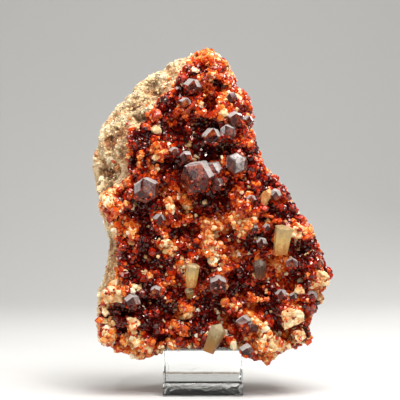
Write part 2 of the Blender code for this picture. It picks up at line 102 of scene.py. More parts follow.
def amount_ramp(finish, factor, *stops):
    """Amounts spread along a factor: each stop is a position and an amount."""
    return colour_ramp(finish, factor, [(position, (amount,) * 3) for position, amount in stops])


def with_share_of(finish, added, share, value):
    """A value with this share of another added to it."""
    made = add_node(finish, "Math", {0: added, 1: share, 2: value}, operation="MULTIPLY_ADD")
    return made.outputs[0]


def feed(finish, shader, name, output):
    finish.node_tree.links.new(output, shader.inputs[name])


def give_bump(finish, shader, height, depth):
    made = add_node(finish, "Bump", {"Height": height, "Distance": depth, "Strength": 1.0})
    feed(finish, shader, "Normal", made.outputs["Normal"])


def clear_acrylic(name, ripple_width, ripple_depth):
    """Cast acrylic whose faces are a little wavy, with fine scratches across them."""
    finish, shader = new_finish(name, (0.97, 0.985, 0.985), 0.03, index=ACRYLIC_INDEX, clearness=1.0)
    ripple = pattern(finish, "TexNoise", ripple_width, Detail=2.0)
    scratches = pattern(finish, "TexVoronoi", SCRATCH_SPACING)
    scratches.feature = "DISTANCE_TO_EDGE"
    scratched = amount_ramp(finish, scratches.outputs["Distance"], (0.0, 0.0), (SCRATCH_WIDTH, SCRATCH_DEPTH))
    height = with_share_of(finish, ripple.outputs["Fac"], 1.0, scratched)
    give_bump(finish, shader, height, ripple_depth)
    return finish


acrylic_finishes = {
    "stand_block": clear_acrylic("polished_acrylic", ripple_width=5 * MM, ripple_depth=0.06 * MM),
    "stand_base": clear_acrylic("wavy_acrylic", ripple_width=1.0 * MM, ripple_depth=0.2 * MM),
}
for node, finish in acrylic_finishes.items():
    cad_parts[node].data.materials.clear()
    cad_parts[node].data.materials.append(finish)

# The pale rock: one broken lump of sugary feldspar and quartz that everything else grew on.
# Its surface is pitted and crumbly, brown in the pits, with rust stains round the garnets; painted shade
# darkens its hollows.
# It is the imported solid with its surface roughened.
ROCK_VOXEL = 0.5 * MM
# How wide and how deep the lumps, the folds and the crumbs of its surface are.
LUMPS, FOLDS, CRUMBS = (5 * MM, 3.0 * MM), (1.7 * MM, 1.2 * MM), (1.3 * MM, -0.5 * MM)
# Brown pits in the bare rock, partly brown and partly painted shade, the one at (-25.4, 84.4) for the shadow
# under the crust's edge: x, z and radius in millimetres.
ROCK_PITS = [
    (-26.0, 77.0, 4.0), (-30.5, 70.5, 3.2), (-25.4, 84.4, 2.8), (-20.5, 89.5, 3.0), (-31.5, 64.5, 2.4),
    (-22.5, 93.0, 2.2), (-28.0, 73.0, 2.4), (-30.5, 81.0, 2.2), (-16.0, 97.5, 2.2), (-29.0, 48.0, 3.0),
]
PIT_DEPTH = 0.7 * MM
FRONT = 2 * MM  # pits, and the small garnets on bare rock, stay in front of this
LEVEL_TONE = 0.52  # the tone of a place that is neither raised nor sunk
PAINTED_SHADE_HEIGHT = 2.2 * MM  # painted shade: how much higher a place is whose tone is paler by one
PIT_TONE = 0.1  # how much darker the middle of a pit is than its depth makes it, partly brown and partly painted shade
STAIN_REACH = 4 * MM
FELDSPAR_INDEX = 1.53
SPECK_BROWN, CRACK_BROWN = (0.13, 0.055, 0.02, 1), (0.10, 0.045, 0.02, 1)
OCHRE, RUST = (0.50, 0.23, 0.075, 1), (0.42, 0.14, 0.04, 1)


def copy_of(node, name):
    """A new piece with this node's shape, its loose triangles merged to whole faces."""
    bpy.ops.object.select_all(action="DESELECT")
    piece = bpy.data.objects.new(name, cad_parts[node].data.copy())
    bpy.context.scene.collection.objects.link(piece)
    piece.data.materials.clear()
    piece.select_set(True)
    bpy.context.view_layer.objects.active = piece
    bpy.ops.object.mode_set(mode="EDIT")
    bpy.ops.mesh.select_all(action="SELECT")
    bpy.ops.mesh.remove_doubles(threshold=0.002 * MM)
    bpy.ops.object.mode_set(mode="OBJECT")
    return piece


def joined(pieces):
    """Several pieces made one object, under the first one's name."""
    bpy.ops.object.select_all(action="DESELECT")
    for piece in pieces:
        piece.select_set(True)
    bpy.context.view_layer.objects.active = pieces[0]
    bpy.ops.object.join()
    return pieces[0]


def apply_modifier(piece, kind, **settings):
    bpy.context.view_layer.objects.active = piece
    modifier = piece.modifiers.new(kind.title(), kind)
    for name, value in settings.items():
        setattr(modifier, name, value)
    bpy.ops.object.modifier_apply(modifier=modifier.name)


def roughen(piece, kind, feature_size, depth, level, group="", **settings):
    """Raises or sinks a piece's surface by a pattern about this wide, from the level that stays in place."""
    relief = bpy.data.textures.new(f"{kind.lower()}_{feature_size / MM:.1f}_mm", kind)
    relief.noise_scale = feature_size
    for name, value in settings.items():
        setattr(relief, name, value)
    apply_modifier(
        piece, "DISPLACE", texture=relief, texture_coords="LOCAL", strength=depth, mid_level=level,
        vertex_group=group,
    )


def finish_piece(piece, finish, slot, *nodes):
    """Gives a piece its material and ties it to the frame, in place of these nodes."""
    piece.data.materials.clear()
    piece.data.materials.append(finish)
    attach(piece, "root")
    if nodes:
        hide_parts(*nodes)
    return piece


def places_of(piece):
    places = np.empty(len(piece.data.vertices) * 3)
    piece.data.vertices.foreach_get("co", places)
    return places.reshape(-1, 3)


def ways_out_of(piece):
    ways = np.empty(len(piece.data.vertices) * 3)
    piece.data.vertices.foreach_get("normal", ways)
    return ways.reshape(-1, 3)


def mark(piece, name, values, each="POINT"):
    """Keeps one number for each vertex or face, for the piece's material to read."""
    layer = piece.data.attributes.new(name, "FLOAT", each)
    layer.data.foreach_set("value", np.asarray(values, np.float32))


def tree_of(*nodes):
    """A tree for finding the nearest place on these nodes."""
    vertices, faces = [], []
    for node in nodes:
        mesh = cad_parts[node].data
        start = len(vertices)
        vertices += [vertex.co.copy() for vertex in mesh.vertices]
        faces += [[start + index for index in face.vertices] for face in mesh.polygons]
    return BVHTree.FromPolygons(vertices, faces)


def gap_to(tree, place):
    """How far a place is from these solids, below zero inside them, by every face that is as near."""
    nearest, way, _, distance = tree.find_nearest(place)
    around = sum((found[1] for found in tree.find_nearest_range(place, 1.001 * distance)), way)
    return distance if (place - nearest).dot(around) > 0 else -distance


def noise_at(places, feature_size, seed):
    """Smooth noise about this wide at each place, from -1 to 1."""
    offset = Vector((seed, 0.0, 0.0))
    return np.array([noise.noise(Vector(place) / feature_size + offset) for place in places])


def in_pit_at(places):
    """How deep inside one of the brown pits each place is, from 0 outside to 1 at its middle."""
    share = np.zeros(len(places))
    ragged = 0.9 * noise_at(places, 2 * MM, 4) + 0.6 * noise_at(places, 0.9 * MM, 8)
    for x, z, radius in ROCK_PITS:
        away = np.hypot(places[:, 0] / MM - x, places[:, 2] / MM - z) / radius + ragged
        share = np.maximum(share, (1 - away * away).clip(0, 1) * (away > -1) * (places[:, 1] < FRONT))
    return share


def distances_to(tree, places):
    return np.array([tree.find_nearest(Vector(place))[3] for place in places])


def where_both(finish, first, second):
    """An amount that is high only where both of these are."""
    made = add_node(finish, "Mix", {0: 1.0, 6: first, 7: second}, data_type="RGBA", blend_type="MULTIPLY")
    return made.outputs[2]


def laid_over(finish, amount, under, colour):
    """A colour over another one, by an amount."""
    return add_node(finish, "Mix", {0: amount, 6: under, 7: colour}, data_type="RGBA").outputs[2]


rock = copy_of("matrix", "pale_rock")
apply_modifier(rock, "REMESH", mode="VOXEL", voxel_size=ROCK_VOXEL)
flat_places, flat_ways = places_of(rock), ways_out_of(rock)
roughen(rock, "CLOUDS", *LUMPS, level=0.45, noise_depth=2)
roughen(rock, "CLOUDS", *FOLDS, level=0.5, noise_depth=3)
roughen(rock, "VORONOI", *CRUMBS, level=0.3)
in_pit = in_pit_at(flat_places)
rough_places = places_of(rock) - flat_ways * (PIT_DEPTH * in_pit)[:, None]
rock.data.vertices.foreach_set("co", rough_places.ravel())
rock.data.update()
# Painted shade: the tone kept as "raised" is darker where the surface sinks, darkest in pit middles, and paler
# where it rises.
raised = ((rough_places - flat_places) * flat_ways).sum(axis=1)
mark(rock, "raised", LEVEL_TONE + raised / PAINTED_SHADE_HEIGHT - PIT_TONE * in_pit)
crust_tree = tree_of("garnet_crust")
mark(rock, "near_crust", np.exp(-distances_to(crust_tree, flat_places) / STAIN_REACH))

pale_rock, rock_shader = new_finish("sugary_pale_rock", (0.7, 0.55, 0.35), 0.8, index=FELDSPAR_INDEX)
rock_painted_shade = add_node(pale_rock, "Attribute", {}, attribute_name="raised")
rock_mottle = pattern(pale_rock, "TexNoise", 2.6 * MM, Detail=7.0, Roughness=0.7)
rock_painted_shade_and_mottle = add_node(pale_rock, "Mix", {
    0: 0.5, 2: rock_painted_shade.outputs["Fac"], 3: rock_mottle.outputs["Fac"],
}, data_type="FLOAT")
rock_colour = colour_ramp(pale_rock, rock_painted_shade_and_mottle.outputs[0], [
    (0.27, (0.08, 0.035, 0.012)), (0.37, (0.29, 0.17, 0.075)), (0.46, (0.55, 0.395, 0.20)),
    (0.55, (0.70, 0.55, 0.32)), (0.68, (0.82, 0.72, 0.49)),
])
pitted_zones = pattern(pale_rock, "TexNoise", 4.5 * MM, Detail=2.0)
pitted = amount_ramp(pale_rock, pitted_zones.outputs["Fac"], (0.42, 0.0), (0.56, 1.0))
brown_specks = pattern(pale_rock, "TexNoise", 0.45 * MM, Detail=3.0, Roughness=0.7)
specks = amount_ramp(pale_rock, brown_specks.outputs["Fac"], (0.55, 0.0), (0.62, 0.9))
rock_colour = laid_over(pale_rock, where_both(pale_rock, pitted, specks), rock_colour, SPECK_BROWN)
ochre_spots = pattern(pale_rock, "TexNoise", 1.3 * MM, Detail=4.0, Roughness=0.6)
spots = amount_ramp(pale_rock, ochre_spots.outputs["Fac"], (0.54, 0.0), (0.68, 0.75))
rock_colour = laid_over(pale_rock, spots, rock_colour, OCHRE)
fine_cracks = pattern(pale_rock, "TexNoise", 1.5 * MM, Detail=5.0, Roughness=0.65)
cracks = amount_ramp(pale_rock, fine_cracks.outputs["Fac"], (0.45, 0.0), (0.485, 0.95), (0.515, 0.0))
rock_colour = laid_over(pale_rock, where_both(pale_rock, pitted, cracks), rock_colour, CRACK_BROWN)
rust_zones = pattern(pale_rock, "TexNoise", 6 * MM, Detail=6.0, Roughness=0.7)
near_crust = add_node(pale_rock, "Attribute", {}, attribute_name="near_crust")
rust_value = with_share_of(pale_rock, near_crust.outputs["Fac"], 0.11, rust_zones.outputs["Fac"])
rust = amount_ramp(pale_rock, rust_value, (0.50, 0.0), (0.72, 0.75))
rock_colour = laid_over(pale_rock, rust, rock_colour, RUST)
feed(pale_rock, rock_shader, "Base Color", rock_colour)
rock_grain = pattern(pale_rock, "TexVoronoi", 0.7 * MM)
give_bump(pale_rock, rock_shader, rock_grain.outputs["Distance"], 0.35 * MM)
finish_piece(rock, pale_rock, "pale_rock", "matrix")

# The bed of the crust: a mass of intergrown garnet in rounded lobes, with painted shade in the clefts between
# them, that the small crystals stand on. It is the imported crust with its pockets filled and its clefts
# deepened.
BED_VOXEL = 0.5 * MM
BED_SWELL = 0.35 * MM
# How wide and how deep the lobes and the knobs on them are. The clefts take about a third of the depth.
LOBES, KNOBS = (5.2 * MM, -5.5 * MM), (2.1 * MM, -2.2 * MM)
ROCK_RIM = 0.8 * MM  # this near the rock, the bed keeps its shape
RIM_FADE = 3 * MM  # how much farther out its swelling and its clefts are whole
CLEFTS_AT_CRYSTALS = 0.25  # the share of the clefts' depth beside a large crystal
CRYSTAL_FADE = 2 * MM
FILLER_SHRINK = 0.75 * MM  # keeps what fills a pocket inside the crystal that grew there

garnet_nodes = sorted(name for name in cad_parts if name.startswith("garnet_"))
garnet_nodes.remove("garnet_crust")
quartz_nodes = sorted(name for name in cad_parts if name.startswith("quartz_"))
feldspar_nodes = sorted(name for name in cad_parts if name.startswith("feldspar_"))

# Where the garnets are orange to peach: x, z and radius in millimetres, and how strong.
WARM_PLACES = [
    (5.4, 101.4, 5.0, 0.15), (2.2, 108.6, 3.0, 0.2), (2.2, 91.8, 4.6, 0.32), (-5.7, 88.7, 3.0, 0.2),
    (-28.7, 62.5, 4.5, 0.4), (-14.4, 76.0, 4.0, 0.25), (-10.5, 62.5, 4.0, 0.25), (-4.1, 60.0, 3.0, 0.35),
    (7.0, 57.8, 6.0, 0.25), (11.0, 53.8, 4.0, 0.3), (2.2, 51.4, 4.0, 0.3), (16.5, 56.2, 3.5, 0.2),
    (3.8, 45.9, 4.0, 0.26), (10.2, 45.0, 3.5, 0.3), (-11.3, 48.3, 3.5, 0.35), (-5.7, 40.3, 4.0, 0.3),
    (23.7, 41.9, 4.0, 0.3), (31.6, 53.0, 3.0, 0.3), (14.1, 29.2, 5.0, 0.3), (-29.5, 33.2, 4.5, 0.4),
    (-6.5, 25.2, 3.0, 0.3), (-21.6, 18.0, 6.0, 0.35), (-8.9, 17.3, 4.0, 0.4), (21.3, 18.9, 6.0, 0.4),
    (11.7, 16.5, 3.5, 0.3), (37.0, 33.0, 3.0, 0.3), (-24.8, 53.0, 4.0, 0.3), (-25.6, 39.0, 4.0, 0.2),
    (-31.0, 19.7, 4.0, 0.3),
]
# Where they are deep red to nearly black, in the same terms: partly the garnets' own deeper red, partly
# painted shade, as the shadow under the centre cluster at (3.0, 62.5).
DEEP_RED_AND_PAINTED_SHADE_PLACES = [
    (-4.6, 98.0, 4.0, 0.3), (-8.1, 84.0, 4.0, 0.3), (1.4, 86.0, 4.2, 0.3), (8.0, 81.5, 4.0, 0.2),
    (-18.3, 86.0, 3.5, 0.3), (1.4, 79.2, 4.5, 0.4), (-6.5, 75.0, 4.0, 0.3), (3.0, 62.5, 5.0, 0.45),
    (-17.0, 62.0, 4.0, 0.3), (18.0, 62.5, 3.5, 0.25), (30.8, 47.5, 4.5, 0.4), (13.3, 37.0, 4.0, 0.35),
    (-17.6, 46.0, 4.0, 0.3), (0.6, 28.4, 4.0, 0.4), (-11.7, 27.8, 3.5, 0.25), (-18.4, 22.0, 3.5, 0.3),
    (-28.0, 27.0, 3.0, 0.3), (25.0, 23.7, 4.0, 0.3), (20.5, 31.6, 4.0, 0.25), (18.0, 50.0, 3.5, 0.25),
    (-17.0, 33.0, 4.0, 0.25), (-14.5, 21.0, 4.0, 0.2), (-20.0, 27.5, 5.0, 0.4), (-25.0, 24.0, 3.5, 0.3),
    (30.0, 60.0, 3.5, 0.2), (9.5, 48.5, 3.0, 0.2), (33.0, 44.0, 3.0, 0.2),
]
MIDDLE_WARMTH, MOST_WARMTH = 0.46, 1.1
SUNK_START, SUNK_END = 0.4, 2.6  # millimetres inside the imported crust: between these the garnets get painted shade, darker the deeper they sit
SUNK_PAINTED_SHADE = 0.27  # painted shade for each millimetre
# The bed's tint is its warmth, drawn apart by the first number, less the second, and never over the last.
BED_CONTRAST, BED_DARKER, BED_WARMEST = 1.5, 0.36, 0.56


def warmth_with_painted_shade(places):
    """How orange the garnets are at each place: 0 is nearly black, 0.5 red and 1 peach. Places sunk in the
    clefts get painted shade.
    """
    x, z = places[:, 0] / MM, places[:, 2] / MM
    total = MIDDLE_WARMTH + 0.26 * noise_at(places, 5 * MM, 0) + 0.18 * noise_at(places, 2.0 * MM, 5)
    for strong_places, sign in ((WARM_PLACES, 1), (DEEP_RED_AND_PAINTED_SHADE_PLACES, -1)):
        for centre_x, centre_z, radius, strength in strong_places:
            away = np.hypot(x - centre_x, z - centre_z) / radius
            total += sign * strength * np.clip(1 - away * away / 2, 0, None)
    sunk = np.array([-gap_to(crust_tree, Vector(place)) for place in places]) / MM
    return total.clip(0, MOST_WARMTH) - SUNK_PAINTED_SHADE * (sunk - SUNK_START).clip(0, SUNK_END - SUNK_START)


def garnet_glow(finish, speck_share):
    """The colour of a small garnet by its tint, with specks inside it."""
    tint = add_node(finish, "Attribute", {}, attribute_name="tint")
    specks = pattern(finish, "TexNoise", 0.8 * MM, Detail=2.0)
    value = with_share_of(finish, specks.outputs["Fac"], speck_share, tint.outputs["Fac"])
    return colour_ramp(finish, value, [
        (0.14, (0.040, 0.001, 0.001)), (0.32, (0.22, 0.004, 0.001)), (0.47, (0.48, 0.022, 0.002)),
        (0.60, (0.66, 0.088, 0.008)), (0.74, (0.78, 0.22, 0.028)), (0.88, (0.87, 0.46, 0.15)),
        (1.0, (0.90, 0.70, 0.42)),
    ])


bed = copy_of("garnet_crust", "crust_bed")
fillers = [copy_of(node, f"{node}_filler") for node in garnet_nodes + feldspar_nodes]
for filler in fillers:
    apply_modifier(filler, "DISPLACE", strength=-FILLER_SHRINK, mid_level=0.0)
joined([bed, *fillers])
apply_modifier(bed, "REMESH", mode="VOXEL", voxel_size=BED_VOXEL)
rock_tree = tree_of("matrix")
large_tree = tree_of(*garnet_nodes, *quartz_nodes, *feldspar_nodes)
crystal_tree = tree_of(*garnet_nodes, *quartz_nodes)
exposed = bed.vertex_groups.new(name="exposed")
apart = bed.vertex_groups.new(name="apart")
for vertex in bed.data.vertices:
    from_rock = rock_tree.find_nearest(vertex.co)[3]
    open_share = min(max((from_rock - ROCK_RIM) / RIM_FADE, 0.0), 1.0)
    from_large = large_tree.find_nearest(vertex.co)[3]
    exposed.add([vertex.index], open_share, "REPLACE")
    cleft_share = min(CLEFTS_AT_CRYSTALS + from_large / CRYSTAL_FADE, 1.0)
    apart.add([vertex.index], open_share * cleft_share, "REPLACE")
apply_modifier(bed, "DISPLACE", strength=BED_SWELL, mid_level=0.0, vertex_group="exposed")
for width_and_depth in (LOBES, KNOBS):
    roughen(bed, "VORONOI", *width_and_depth, level=0.0, group="apart", distance_metric="DISTANCE_SQUARED")
# The bed's tint carries the painted shade of its clefts.
mark(bed, "tint", (BED_CONTRAST * warmth_with_painted_shade(places_of(bed)) - BED_DARKER).clip(-1, BED_WARMEST))

bed_finish, bed_shader = new_finish("intergrown_garnet", (0.3, 0.02, 0.01), 0.22, index=1.65)
feed(bed_finish, bed_shader, "Base Color", garnet_glow(bed_finish, speck_share=0.4))
bed_grain = pattern(bed_finish, "TexVoronoi", 0.8 * MM)
give_bump(bed_finish, bed_shader, bed_grain.outputs["Distance"], 0.5 * MM)
finish_piece(bed, bed_finish, "garnet_crust", "garnet_crust")

# The single garnets: dark brown-red crystals of twelve rhombs with narrow faces between them, glassy, with a
# silvery painted reflection coloured onto their upper and side faces. They grew in the crust, and are the
# imported crystals with their edges just blunted.
GARNET_EDGE_WEAR = 0.06 * MM
PAINTED_REFLECTION_UP, PAINTED_REFLECTION_SIDE = 0.9, 0.5  # how much a face's painted reflection owes to facing up, and to facing sideways
PAINTED_REFLECTION_VARIETY = 0.1
PAINTED_REFLECTION_CHANGE = {"garnet_left": -0.12, "garnet_centre_cluster": -0.28}
EVEN_PAINTED_REFLECTION = {"garnet_right_of_centre": 0.42}  # crystals with much the same painted reflection on every face

garnet_finish, garnet_shader = new_finish("dark_garnet", (0.1, 0.02, 0.015), 0.1, index=1.6)
garnet_shader.inputs["Specular IOR Level"].default_value = 0.3
garnet_zones = pattern(garnet_finish, "TexNoise", 2.4 * MM, Detail=6.0, Roughness=0.65)
garnet_colour = colour_ramp(garnet_finish, garnet_zones.outputs["Fac"], [
    (0.38, (0.016, 0.002, 0.001)), (0.50, (0.070, 0.008, 0.004)), (0.60, (0.22, 0.032, 0.008)),
    (0.72, (0.50, 0.17, 0.04)),
])
# Painted reflection: faces marked for it are coloured grey-mauve to pale grey, standing in for the lamps and
# the room mirrored in them.
garnet_painted_reflection = add_node(garnet_finish, "Attribute", {}, attribute_name="sheen")
painted_reflection_streaks = pattern(garnet_finish, "TexNoise", 1.1 * MM, Detail=6.0, Roughness=0.7)
painted_reflection_value = with_share_of(garnet_finish, painted_reflection_streaks.outputs["Fac"], 0.8, garnet_painted_reflection.outputs["Fac"])
painted_reflection_amount = amount_ramp(garnet_finish, painted_reflection_value, (0.62, 0.0), (0.98, 0.92))
painted_reflection_colour = colour_ramp(garnet_finish, painted_reflection_value, [
    (0.68, (0.105, 0.058, 0.050)), (0.85, (0.16, 0.125, 0.115)), (1.0, (0.38, 0.34, 0.32)),
])
garnet_face = laid_over(garnet_finish, painted_reflection_amount, garnet_colour, painted_reflection_colour)
feed(garnet_finish, garnet_shader, "Base Color", garnet_face)
garnet_uneven = pattern(garnet_finish, "TexNoise", 0.6 * MM, Detail=4.0)
garnet_rough = amount_ramp(garnet_finish, garnet_uneven.outputs["Fac"], (0.35, 0.14), (0.7, 0.42))
feed(garnet_finish, garnet_shader, "Roughness", garnet_rough)
give_bump(garnet_finish, garnet_shader, garnet_uneven.outputs["Fac"], 0.07 * MM)


def crystal_from(node, wear):
    """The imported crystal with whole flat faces, its edges blunted this wide."""
    piece = copy_of(node, f"{node}_crystal")
    bpy.ops.object.mode_set(mode="EDIT")
    bpy.ops.mesh.select_all(action="SELECT")
    bpy.ops.mesh.dissolve_limited(angle_limit=math.radians(1))
    bpy.ops.object.mode_set(mode="OBJECT")
    apply_modifier(piece, "BEVEL", width=wear, segments=1, limit_method="ANGLE", angle_limit=math.radians(8))
    return piece


def mark_painted_reflection(piece, node, draw):
    """Keeps one number for each face: how much of the painted silvery reflection it gets."""
    sheen = []
    for face in piece.data.polygons:
        by_way = PAINTED_REFLECTION_UP * face.normal.z + PAINTED_REFLECTION_SIDE * abs(face.normal.x) + PAINTED_REFLECTION_CHANGE.get(node, 0.0)
        sheen.append(EVEN_PAINTED_REFLECTION.get(node, by_way) + PAINTED_REFLECTION_VARIETY * draw.normal())
    mark(piece, "sheen", sheen, "FACE")


painted_reflection_draw = np.random.default_rng(3)
large_crystals = []
for node in garnet_nodes:
    crystal = crystal_from(node, GARNET_EDGE_WEAR)
    mark_painted_reflection(crystal, node, painted_reflection_draw)
    large_crystals.append(finish_piece(crystal, garnet_finish, "garnet", node))

# The crust of small garnets: thousands of crystals of twelve rhombs, deep red to orange, grown over each
# other in heaps on the bed. One crystal is modelled, and copies of it are set on the bed, each turned at
# random. Room is kept among them for the larger garnets and the cream grains of the sections below.
SMALL_GARNET_TRIES = 190000
SMALL_GARNET_HALF, SMALL_LEAN = (0.31 * MM, 0.64 * MM), (1.0, 1.6)
LARGER_HALF, LARGER_LEAN = (0.68 * MM, 1.3 * MM), (0.9, 3.0)
LARGER_SHARE = 0.025  # of the places tried, before the small ones fill what room is left
ROOM_AT_ROCK = 1.3 * MM  # a crystal that faces the rock needs this much
ROOM_AT_CRYSTALS = 0.45  # and this share of its size beside a large crystal
ROCK_BURIAL = 0.5 * MM  # how deep in the rock a place may lie
PACKING = 0.66  # how near two crystals may stand, as a share of their sizes' sum
SUNK = 0.25  # how deep a crystal's middle sits in the bed, as a share of its size
DARKEST, WARMEST = -0.06, 0.66
DARKER = 0.155  # than the warmth of the place
PAINTED_TOP_LIGHT = 0.09  # painted light: the upper side of each heap is coloured warmer, its underside deeper red
TINT_VARIETY, FACE_VARIETY = 0.10, 0.09
GARNET_SHINE = (1.0, 0.85, 0.74, 1)

# Where cream feldspar grains stand among the garnets: x, z and radius in millimetres.
CREAM_PLACES = [
    (8.3, 103.8, 2.2), (4.6, 108.6, 2.0), (-7.3, 41.9, 2.6), (3.4, 44.2, 2.2), (-5.4, 25.7, 1.8),
    (-5.5, 60.3, 1.8), (-2.3, 61.0, 1.4), (-10.0, 60.0, 1.4), (1.8, 59.6, 1.2), (6.5, 79.3, 1.5),
    (-4.6, 79.8, 1.4), (-10.9, 80.5, 1.2), (-14.9, 85.1, 2.2), (-21.9, 61.3, 1.6), (-24.8, 51.4, 1.8),
    (-24.3, 38.4, 1.5), (-21.0, 34.6, 1.8), (-28.9, 30.8, 3.4), (-30.8, 23.5, 3.0), (-32.0, 19.0, 3.0),
    (28.9, 18.4, 2.4), (29.8, 52.7, 2.0), (-4.0, 15.9, 2.4), (-10.5, 15.6, 2.4), (-21.6, 17.0, 5.0),
    (21.0, 17.5, 5.0), (11.0, 44.5, 1.6), (2.6, 48.6, 1.6), (11.5, 53.0, 2.0), (-11.0, 48.0, 2.6),
    (36.8, 30.5, 1.8), (32.0, 22.0, 2.2), (-13.0, 15.0, 2.2), (-30.6, 61.6, 3.2), (-29.0, 37.0, 2.4),
    (-28.5, 45.0, 2.0), (-28.8, 53.0, 2.4), (-33.0, 28.0, 3.0), (38.0, 37.0, 2.0), (-26.5, 68.5, 2.2),
]
CREAM_IN_PLACES, CREAM_IN_PATCHES, CREAM_ANYWHERE = 1.2, 1.6, 0.025  # the share of grains in each
PATCH_WIDTH, PATCH_START = 2.2 * MM, 0.36  # how wide other patches are, and the noise at which one starts
LARGEST_GRAIN, LARGEST_IN_PATCH = 0.85 * MM, 0.8 * MM  # in half widths
# Single cream grains that stand out: x, z, half width in millimetres and tint.
SINGLE_GRAINS = [
    (-15.0, 85.0, 1.5, 0.7), (20.2, 63.1, 1.6, 0.35), (9.8, 13.7, 1.0, 0.8), (6.8, 19.7, 1.15, 0.85),
    (-5.6, 60.6, 1.2, 0.6), (29.8, 53.0, 1.2, 0.6), (-3.0, 61.6, 1.0, 0.5), (3.4, 51.0, 1.3, 0.55),
]
BEFORE_CRUST = -18 * MM  # the y from which they are set back until they meet the bed


def near_places(places, x, z):
    """How deep inside one of these round places a point is, from 0 outside to 1 at a middle."""
    return max(max(1 - math.hypot(x - place[0], z - place[1]) / place[2], 0.0) for place in places)


def start_shape(size, name):
    bpy.ops.object.select_all(action="DESELECT")
    bpy.ops.mesh.primitive_cube_add(size=size)
    shape = bpy.context.active_object
    shape.name = name
    bpy.ops.object.mode_set(mode="EDIT")
    bpy.ops.mesh.select_all(action="SELECT")
    return shape


def end_shape():
    bpy.ops.object.mode_set(mode="OBJECT")


def rhomb_crystal(name, edge_share):
    """A crystal of twelve rhombs, with narrow faces between them or none, one unit from middle to face."""
    crystal = start_shape(math.sqrt(2), name)
    bpy.ops.mesh.poke(offset=math.sqrt(2) / 2)
    bpy.ops.mesh.select_all(action="SELECT")
    bpy.ops.mesh.dissolve_limited(angle_limit=math.radians(5))
    if edge_share:
        bpy.ops.mesh.bevel(offset=edge_share, segments=1, affect="EDGES")
    end_shape()
    return crystal


def places_on(piece, count, draw):
    """Places spread evenly over a piece, and the way out of it at each."""
    mesh = piece.data
    mesh.calc_loop_triangles()
    corners = np.empty(len(mesh.loop_triangles) * 3, int)
    mesh.loop_triangles.foreach_get("vertices", corners)
    points = np.empty(len(mesh.vertices) * 3)
    mesh.vertices.foreach_get("co", points)
    first, second, third = points.reshape(-1, 3)[corners.reshape(-1, 3)].transpose(1, 0, 2)
    across = np.cross(second - first, third - first)
    area = np.linalg.norm(across, axis=1)
    chosen = draw.choice(len(area), count, p=area / area.sum())
    u, v = np.sort(draw.random((2, count)), axis=0)
    u, v = u[:, None], v[:, None]
    places = first[chosen] * u + second[chosen] * (v - u) + third[chosen] * (1 - v)
    return places, across[chosen] / area[chosen, None]


def in_the_open(tree, place, way):
    """Whether a place on the crust faces out, not towards the rock, and isn't buried in the rock."""
    nearest, rock_way, _, distance = tree.find_nearest(place)
    buried = distance > ROCK_BURIAL and (place - nearest).dot(rock_way) < 0
    facing = distance < ROOM_AT_ROCK and (nearest - place).dot(way) > 0
    return not buried and not facing


def sizes_between(halves, lean, count, draw):
    """Sizes between these two, most of them near the small end, by how a beta draw leans."""
    return halves[0] + draw.beta(*lean, count) * (halves[1] - halves[0])


def set_apart(places, sizes, packing):
    """The places kept when each, in turn, needs room from those kept before it."""
    cell = 2 * max(sizes) * packing
    kept, grid = [], {}
    for index, (place, size) in enumerate(zip(places, sizes)):
        home = tuple(int(value // cell) for value in place)
        near = [
            other
            for i in (-1, 0, 1) for j in (-1, 0, 1) for k in (-1, 0, 1)
            for other in grid.get((home[0] + i, home[1] + j, home[2] + k), ())
        ]
        if all(math.dist(place, places[other]) > packing * (size + sizes[other]) for other in near):
            kept.append(index)
            grid.setdefault(home, []).append(index)
    return kept


def random_turns(count, draw):
    """A turn about a random axis for each of these, as matrices."""
    w, x, y, z = draw.normal(size=(4, count))
    length = np.sqrt(w * w + x * x + y * y + z * z)
    w, x, y, z = w / length, x / length, y / length, z / length
    return np.array([
        [1 - 2 * (y * y + z * z), 2 * (x * y - z * w), 2 * (x * z + y * w)],
        [2 * (x * y + z * w), 1 - 2 * (x * x + z * z), 2 * (y * z - x * w)],
        [2 * (x * z - y * w), 2 * (y * z + x * w), 1 - 2 * (x * x + y * y)],
    ]).transpose(2, 0, 1)


def copies_of(shape, name, places, sizes, turns, tints, draw, stretch=0.14, ragged=0.0):
    """One mesh of many copies of a shape. Each face holds a tint, near its own copy's tint."""
    corners = np.array([vertex.co for vertex in shape.data.vertices])
    faces = [list(face.vertices) for face in shape.data.polygons]
    drawn_out = 1 + stretch * draw.normal(size=(len(places), 1, 3)).clip(-2, 2)
    moved = ragged * draw.normal(size=(len(places), len(corners), 3))
    points = np.einsum("nij,nvj->nvi", turns, corners * drawn_out + moved) * sizes[:, None, None]
    points += places[:, None, :]
    mesh = bpy.data.meshes.new(name)
    all_faces = [
        [start + corner for corner in face]
        for start in range(0, len(places) * len(corners), len(corners)) for face in faces
    ]
    mesh.from_pydata(points.reshape(-1, 3).tolist(), [], all_faces)
    piece = bpy.data.objects.new(name, mesh)
    bpy.context.scene.collection.objects.link(piece)
    face_tints = np.repeat(tints, len(faces)) + FACE_VARIETY * draw.normal(size=len(tints) * len(faces))
    mark(piece, "tint", face_tints, "FACE")
    return piece


small_garnet, small_shader = new_finish("small_garnets_red_to_orange", (0.4, 0.04, 0.015), 0.08, index=1.56)
feed(small_garnet, small_shader, "Base Color", garnet_glow(small_garnet, speck_share=0.35))
small_shader.inputs["Specular Tint"].default_value = GARNET_SHINE
garnet_specks = pattern(small_garnet, "TexNoise", 0.8 * MM, Detail=2.0)
give_bump(small_garnet, small_shader, garnet_specks.outputs["Fac"], 0.05 * MM)

